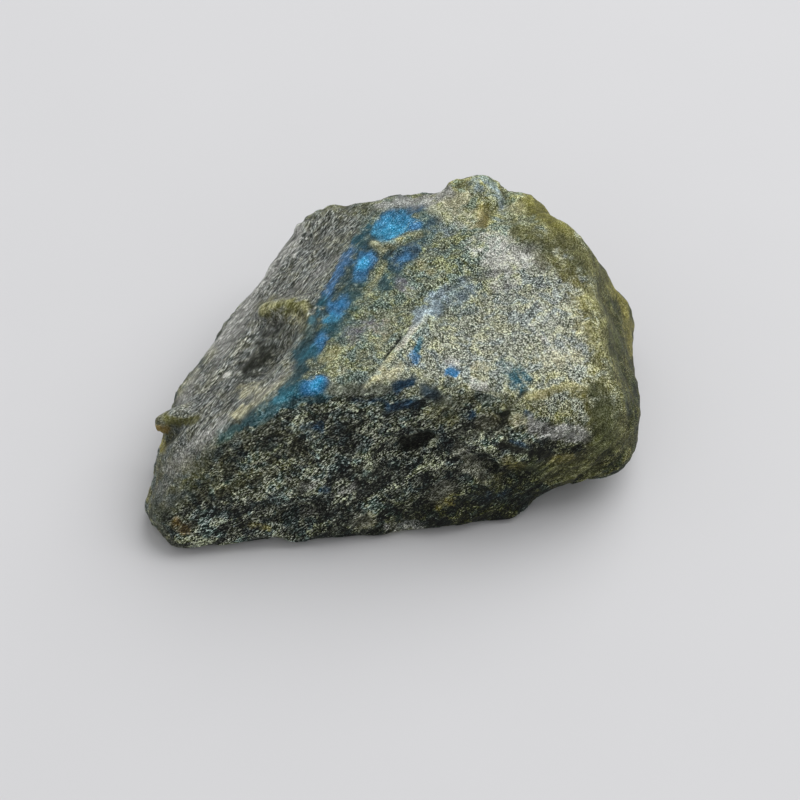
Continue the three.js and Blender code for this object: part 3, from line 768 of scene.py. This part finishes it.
MOTTLE = Pattern(1.9, 5, 0.7, 0.4)
FLANK_STREAKS = Pattern(0.36, 3, 0.65)
FRONT_STREAKS = Pattern(0.9, 4, 0.65, 0.4)
BENDS = Pattern(1.25, 4, 0.5)
PATCHES = Pattern(1.9, 1.6, 0.5, 0.8)
RAGGED_EDGE = Pattern(1, 3, 0.6)
WAVES = Pattern(0.9, 3, 0.6)
COOL_OFFSET = (37, 11, 5)  # keeps the cool patches apart from the warm ones

# Where a pattern starts to show and where it shows in full.
WARM_RANGE = (0.44, 0.62)
COOL_RANGE = (0.46, 0.62)
DARK_RANGE = (0.58, 0.66)
MARK_RANGE = (0.1, 0.9)
MARK_REACH = (0.0, 0.25)

# The range of brightness that each pattern gives, as a natural logarithm.
GRAIN_GAIN = 6.0
MOTTLE_GAIN = 3.0
FLANK_STREAK_GAIN = 2.2
FRONT_STREAK_GAIN = 1.8
BLOCK_GAIN = 1.5
RELIEF_SHADING_GAIN = 1.2
# A spread of brightness as a logarithm raises its mean, so the grains' mean is brought back to about 1.
GRAIN_EVENING = math.log(math.sinh(GRAIN_GAIN / 2) / (GRAIN_GAIN / 2))
MARK_SMOOTHNESS = 0.6  # share of the grain that a full mark hides
GRAIN_TINT = 0.6  # the power by which a grain's colour follows its brightness, the rest of which is white
DARK_MINERAL = "#141c20"
DARK_MINERAL_COVER = 0.7
MARK_RAGGEDNESS = 1.5
BRIGHTEST = 0.85  # the share of light that the whitest grains send back
DARKEST = 0.004  # and the darkest

USUAL_ROUGHNESS = 0.78
POLISH_GLOSS = 0.35  # how much less rough polish makes it
GRAIN_ROUGHNESS = 0.5  # the range of roughness from grain to grain
BUMP_STRENGTH = 0.5
BUMP_HEIGHT = 0.12
WAVE_BUMP = 1.5  # height of the waves, where a grain's is 1
LABRADORITE_IOR = 1.56
BROKEN_GLOSS = 0.12  # broken grains scatter most of the gloss that polished feldspar, at 0.5, has


def stretched(add, place, run, length):
    """A place squeezed along a direction, so that a pattern there is drawn out along it."""
    run = run / np.linalg.norm(run)
    reach = add("VectorMath", (place, tuple(run)), operation="DOT_PRODUCT")["Value"]
    squeeze = {0: tuple(run * (1 / length - 1)), "Scale": reach}
    shift = add("VectorMath", squeeze, operation="SCALE")[0]
    return add("VectorMath", (place, shift), operation="ADD")[0]


def crystals(add, place, width):
    """Three random values, from 0 to 1, for each crystal."""
    inputs = {"Vector": place, "Scale": 1 / width, "Randomness": 1.0}
    cells = add("TexVoronoi", inputs, feature="F1")["Color"]
    return add("SeparateColor", (cells,))


def swing(add, value, gain, amount):
    """A value's swing about its middle, times a gain and an amount."""
    centred = add("Math", (value, 0.5), operation="SUBTRACT")[0]
    gained = add("Math", (centred, gain), operation="MULTIPLY")[0]
    return add("Math", (gained, amount), operation="MULTIPLY")[0]


def grain_values(add, in_mm, amounts):
    """A random value for each grain. Grains are even on most faces and long on the flank and the front."""
    flank_place = stretched(add, in_mm, FLANK_RUN, FLANK_GRAIN_LENGTH)
    front_place = stretched(add, in_mm, FRONT_RUN, FRONT_GRAIN_LENGTH)
    even = crystals(add, in_mm, GRAIN_WIDTH)[0]
    flank = crystals(add, flank_place, FLANK_GRAIN_WIDTH)[0]
    front = crystals(add, front_place, FRONT_GRAIN_WIDTH)[0]
    # A Mix node takes two numbers at its inputs 2 and 3, and two colours at 6 and 7.
    grain = add("Mix", {0: amounts["flank_streaks"], 2: even, 3: flank}, data_type="FLOAT")[0]
    return add("Mix", {0: amounts["front_streaks"], 2: grain, 3: front}, data_type="FLOAT")[0]


def block_values(add, in_mm):
    """Random values for each block of mineral in the front, whose borders are bent."""
    bends = add("TexNoise", BENDS.at(in_mm))["Color"]
    front_place = stretched(add, in_mm, FRONT_RUN, BLOCK_LENGTH)
    bent = add("VectorMath", (bends, (BLOCK_BEND,) * 3, front_place), operation="MULTIPLY_ADD")[0]
    return crystals(add, bent, BLOCK_WIDTH)


def stone_shade(add, in_mm, amounts, blocks):
    """How many times brighter than its tint the stone is, before its grains."""
    flank_place = stretched(add, in_mm, FLANK_RUN, FLANK_STREAK_LENGTH)
    front_place = stretched(add, in_mm, FRONT_RUN, FRONT_STREAK_LENGTH)
    swings = (
        (add("TexNoise", MOTTLE.at(in_mm))[0], MOTTLE_GAIN, amounts["mottle"]),
        (add("TexNoise", FLANK_STREAKS.at(flank_place))[0], FLANK_STREAK_GAIN, amounts["flank_streaks"]),
        (add("TexNoise", FRONT_STREAKS.at(front_place))[0], FRONT_STREAK_GAIN, amounts["front_streaks"]),
        (blocks[0], BLOCK_GAIN, amounts["front_streaks"]),
        # painted shade in hollows and painted light on crests
        (amounts["relief_shading"], RELIEF_SHADING_GAIN, 1.0),
    )
    # Brightness adds up as a logarithm, so a dark face shows bright specks and a pale one dark specks.
    tone = 0.0
    for value, gain, amount in swings:
        tone = add("Math", (tone, swing(add, value, gain, amount)), operation="ADD")[0]
    return add("Math", (tone,), operation="EXPONENT")[0]


def grain_power(add, grain, amounts, mark_cover):
    """How bright each grain is beside its neighbours, as a logarithm."""
    lost = add("Math", (mark_cover, MARK_SMOOTHNESS), operation="MULTIPLY")[0]
    kept = add("Math", (1.0, lost), operation="SUBTRACT")[0]
    amount = add("Math", (amounts["grain"], kept), operation="MULTIPLY")[0]
    squared = add("Math", (amount, amount), operation="MULTIPLY")[0]
    evening = add("Math", (squared, GRAIN_EVENING), operation="MULTIPLY")[0]
    return add("Math", (swing(add, grain, GRAIN_GAIN, amount), evening), operation="SUBTRACT")[0]


def patched(add, tint, patch_tint, value, limits, amount):
    """A tint with patches of another over it, where a value passes its limits."""
    shown = add("MapRange", (value, *limits), interpolation_type="SMOOTHSTEP")[0]
    cover = add("Math", (shown, amount), operation="MULTIPLY")[0]
    return add("Mix", {0: cover, 6: tint, 7: patch_tint}, data_type="RGBA")[2]


def stone_tint(add, in_mm, layers, amounts, blocks):
    """The stone's colour, with its warm and cool patches and its dark minerals."""
    elsewhere = add("VectorMath", (in_mm, COOL_OFFSET), operation="ADD")[0]
    warm = add("TexNoise", PATCHES.at(in_mm))[0]
    cool = add("TexNoise", PATCHES.at(elsewhere))[0]
    tint = layers["body_tint"]["Color"]
    tint = patched(add, tint, layers["warm_tint"]["Color"], warm, WARM_RANGE, amounts["patches"])
    tint = patched(add, tint, layers["cool_tint"]["Color"], cool, COOL_RANGE, amounts["patches"])
    # Dark minerals lie between the feldspar in blocks, on the faces broken across the layers.
    dark_amount = add("Math", (amounts["front_streaks"], DARK_MINERAL_COVER), operation="MULTIPLY")[0]
    return patched(add, tint, (*linear(DARK_MINERAL), 1), blocks[1], DARK_RANGE, dark_amount)


def marked_tint(add, in_mm, tint, mark):
    """The stone's colour with the marks over it, whose edges are ragged."""
    ragged = swing(add, add("TexNoise", RAGGED_EDGE.at(in_mm))[0], MARK_RAGGEDNESS, 1.0)
    torn = add("Math", (mark["Alpha"], ragged), operation="ADD")[0]
    near = add("MapRange", (mark["Alpha"], *MARK_REACH), interpolation_type="SMOOTHSTEP")[0]
    return patched(add, tint, mark["Color"], torn, MARK_RANGE, near)


def grained_colour(add, tint, shade, power):
    """The stone's colour with its shade and its grains, whose glint is whiter than the stone."""
    brightness = add("RGBToBW", (tint,))[0]
    shaded = add("Math", (brightness, shade), operation="MULTIPLY")[0]
    most = add("Math", (BRIGHTEST, shaded), operation="DIVIDE")[0]
    gain = add("Math", (power,), operation="EXPONENT")[0]
    gain = add("Math", (gain, most), operation="MINIMUM")[0]
    tint_gain = add("Math", (gain, GRAIN_TINT), operation="POWER")[0]
    white_gain = add("Math", (gain, tint_gain), operation="SUBTRACT")[0]
    glint = add("Math", (shaded, white_gain), operation="MULTIPLY")[0]
    tint_shade = add("Math", (shade, tint_gain), operation="MULTIPLY")[0]
    colour = add("VectorMath", {0: tint, "Scale": tint_shade}, operation="SCALE")[0]
    colour = add("VectorMath", (colour, glint), operation="ADD")[0]
    return add("VectorMath", (colour, (DARKEST,) * 3), operation="MAXIMUM")[0]


def labradorite_material():
    """Labradorite, broken: a grey-green feldspar with sugary cleavage faces, so it is speckled, darker in its
    hollows and paler on its crests with painted shade and light, a little glossy on its cleavage, and blue
    where its layers flash."""
    material, add = new_tree("labradorite, rough broken")
    place = add("TexCoord")["Object"]
    in_mm = add("VectorMath", {0: place, "Scale": 1 / MM}, operation="SCALE")[0]
    layers = {name: add("Attribute", attribute_name=name) for name in LAYERS}
    texture = add("SeparateColor", (layers["texture"]["Color"],))
    surface = add("SeparateColor", (layers["surface"]["Color"],))
    amounts = {
        "grain": texture[0],
        "flank_streaks": texture[1],
        "front_streaks": texture[2],
        "mottle": layers["texture"]["Alpha"],
        "relief_shading": surface[0],
        "patches": surface[2],
    }
    mark = layers["mark"]
    grain = grain_values(add, in_mm, amounts)
    blocks = block_values(add, in_mm)
    shade = stone_shade(add, in_mm, amounts, blocks)
    power = grain_power(add, grain, amounts, mark["Alpha"])
    tint = marked_tint(add, in_mm, stone_tint(add, in_mm, layers, amounts, blocks), mark)
    colour = grained_colour(add, tint, shade, power)

    rough = add("Math", (surface[1], -POLISH_GLOSS, USUAL_ROUGHNESS), operation="MULTIPLY_ADD")[0]
    rough = add("Math", (rough, swing(add, grain, GRAIN_ROUGHNESS, 1.0)), operation="ADD")[0]
    waves = add("TexNoise", WAVES.at(in_mm))[0]
    height = add("Math", (waves, WAVE_BUMP, grain), operation="MULTIPLY_ADD")[0]
    bump = add("Bump", {"Strength": BUMP_STRENGTH, "Distance": BUMP_HEIGHT * MM, "Height": height})[0]
    inputs = {
        "Base Color": colour,
        "Roughness": rough,
        "IOR": LABRADORITE_IOR,
        "Specular IOR Level": BROKEN_GLOSS,
        "Normal": bump,
    }
    shader = add("BsdfPrincipled", inputs)[0]
    add("OutputMaterial", {"Surface": shader})
    return material


TOOTH_WIDTH = 25  # real paint is uneven in far less than a millimetre, which wouldn't show
TOOTH_RANGE = (0.3, 0.7)
TOOTH_SHADE = 0.99  # how bright the paint's hollows are beside its own colour


def table_material(hex_colour):
    """White board, painted matt: an even pale grey with no sheen."""
    material, add = new_tree("white board, matt painted")
    place = add("TexCoord")["Object"]
    tooth = add("TexNoise", {"Vector": place, "Scale": 1 / (TOOTH_WIDTH * MM), "Detail": 2})[0]
    colour = linear(hex_colour)
    low, high = TOOTH_RANGE
    # A Map Range node takes vectors at its inputs from 6 on, and gives one at its second output.
    inputs = {6: tooth, 7: (low,) * 3, 8: (high,) * 3, 9: [part * TOOTH_SHADE for part in colour], 10: colour}
    tint = add("MapRange", inputs, data_type="FLOAT_VECTOR")[1]
    shader = add("BsdfPrincipled", {"Base Color": tint, "Roughness": 0.9, "IOR": 1.45})[0]
    add("OutputMaterial", {"Surface": shader})
    return material


# ---- What a user can change ----


class ChunkSettings(bpy.types.PropertyGroup):
    """The stone's sizes"""

    spacing: bpy.props.FloatProperty(
        name="Mesh spacing",
        description="Distance between the surface's points",
        default=0.31 * MM,
        unit="LENGTH",
    )
    relief: bpy.props.FloatProperty(
        name="Relief",
        description="Depth of the broken surface, where 1 is as found",
        default=1.0,
        subtype="FACTOR",
    )


class StudioSettings(bpy.types.PropertyGroup):
    """The table, lights and camera"""

    table_colour: bpy.props.StringProperty(
        name="Table colour", description="Colour of the board under the stone, as sRGB hex", default="#cfcfd1"
    )
    table_size: bpy.props.FloatProperty(
        name="Table size", description="Width of the board under the stone", default=6.0, unit="LENGTH"
    )
    sky: bpy.props.FloatProperty(
        name="Fill light", description="Strength of the even light from all round", default=0.56
    )
    key_power: bpy.props.FloatProperty(
        name="Key light", description="Power of the large soft light overhead", default=20, unit="POWER"
    )
    key_width: bpy.props.FloatProperty(
        name="Key width", description="Width of the large soft light", default=1.8, unit="LENGTH"
    )


# ---- Operators ----

KEY_PLACE = Vector((0.64, 0.64, 1.08))  # above and behind the stone, to its right


class CHUNK_OT_stone(bpy.types.Operator):
    """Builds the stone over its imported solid"""

    bl_idname = "chunk.stone"
    bl_label = "Labradorite stone"

    def execute(self, context):
        settings = context.scene.chunk_settings
        mesh = chunk_mesh(settings.spacing / MM, settings.relief)
        mesh.materials.append(labradorite_material())
        stone = bpy.data.objects.new("labradorite_stone", mesh)
        context.collection.objects.link(stone)
        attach(stone, "root")
        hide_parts(NODE)
        return {"FINISHED"}


class CHUNK_OT_studio(bpy.types.Operator):
    """Lays the table and sets the lights and the camera"""

    bl_idname = "chunk.studio"
    bl_label = "Table, lights and camera"

    def execute(self, context):
        settings = context.scene.studio_settings
        half = settings.table_size / 2
        board = bpy.data.meshes.new("table")
        corners = [(-half, -half, 0), (half, -half, 0), (half, half, 0), (-half, half, 0)]
        board.from_pydata(corners, [], [(0, 1, 2, 3)])
        board.materials.append(table_material(settings.table_colour))
        table = bpy.data.objects.new("table", board)
        context.collection.objects.link(table)

        world = bpy.data.worlds.new("studio")
        world.use_nodes = True
        sky = world.node_tree.nodes["Background"]
        sky.inputs["Color"].default_value = (1, 1, 1, 1)
        sky.inputs["Strength"].default_value = settings.sky
        context.scene.world = world
        context.scene.view_settings.view_transform = "Standard"

        lamp = bpy.data.lights.new("key", "AREA")
        lamp.shape = "DISK"
        lamp.size = settings.key_width
        lamp.energy = settings.key_power
        key = bpy.data.objects.new("key", lamp)
        key.location = KEY_PLACE
        key.rotation_euler = KEY_PLACE.to_track_quat("Z", "Y").to_euler()
        context.collection.objects.link(key)

        lens = bpy.data.cameras.new("camera")
        lens.lens = CAMERA_LENS
        lens.sensor_width = SENSOR_WIDTH
        camera = bpy.data.objects.new("camera", lens)
        camera.location = Vector(CAMERA_PLACE * MM)
        camera.rotation_euler = Vector(TO_CAMERA).to_track_quat("Z", "Y").to_euler()
        context.collection.objects.link(camera)
        context.scene.camera = camera
        return {"FINISHED"}


class CHUNK_PT_panel(bpy.types.Panel):
    """Lists the pieces and their settings"""

    bl_label = "Rough labradorite chunk"
    bl_space_type = "VIEW_3D"
    bl_region_type = "UI"
    bl_category = "Labradorite"

    def draw(self, context):
        for operator, settings in (
            (CHUNK_OT_stone, context.scene.chunk_settings),
            (CHUNK_OT_studio, context.scene.studio_settings),
        ):
            box = self.layout.box()
            for name in settings.__annotations__:
                box.prop(settings, name)
            box.operator(operator.bl_idname)


CLASSES = (ChunkSettings, StudioSettings, CHUNK_OT_stone, CHUNK_OT_studio, CHUNK_PT_panel)


def register():
    """Registers the classes and gives the scene its settings."""
    for entry in CLASSES:
        bpy.utils.register_class(entry)
    bpy.types.Scene.chunk_settings = bpy.props.PointerProperty(type=ChunkSettings)
    bpy.types.Scene.studio_settings = bpy.props.PointerProperty(type=StudioSettings)


def unregister():
    """Takes back what register did."""
    del bpy.types.Scene.studio_settings
    del bpy.types.Scene.chunk_settings
    for entry in reversed(CLASSES):
        bpy.utils.unregister_class(entry)


def main():
    """Builds the stone and its studio."""
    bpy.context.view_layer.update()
    register()
    bpy.ops.chunk.stone()
    bpy.ops.chunk.studio()


if __name__ == "__main__":
    main()
